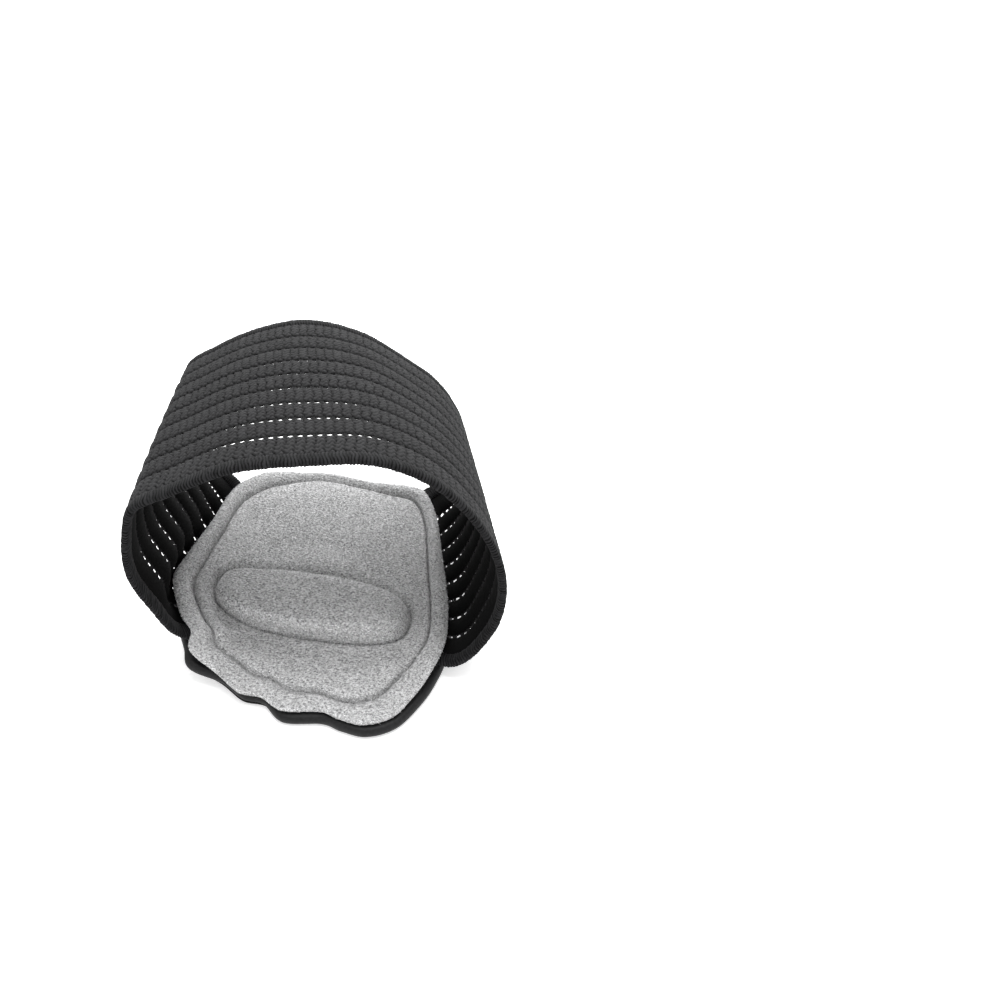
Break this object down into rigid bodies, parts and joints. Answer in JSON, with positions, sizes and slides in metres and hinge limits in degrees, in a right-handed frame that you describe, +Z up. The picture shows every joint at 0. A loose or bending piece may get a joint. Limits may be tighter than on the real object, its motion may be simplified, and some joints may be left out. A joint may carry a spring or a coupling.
{
  "type": "metatarsal pad",
  "caption": "Metatarsal pad: a grey plush pad with a raised oval bar on a black backing, under a wide ribbed elastic arch band with open slits and rolled edges.",
  "frame": {"origin": "on the flat of the backing's underside, a little in front of the middle of the pad", "axes": "+Z up, from the sole to the instep; -Y towards the toe end, where the raised bar is; +X to the right seen from the toe end"},
  "size_m": [0.0922, 0.0966, 0.0707],
  "materials": {
    "backing": "smooth black coated knit",
    "arch_insert": "soft pale foam, hidden",
    "plush_cover": "short grey plush",
    "elastic_band": "black ribbed woven elastic with open slits",
    "front_edge": "black overlocked rolled edge",
    "rear_edge": "black overlocked rolled edge"
  },
  "bodies": {
    "root": {"backing": "backing", "arch_insert": "arch_insert", "plush_cover": "plush_cover", "elastic_band": "elastic_band", "front_edge": "front_edge", "rear_edge": "rear_edge"}
  },
  "joints": []
}
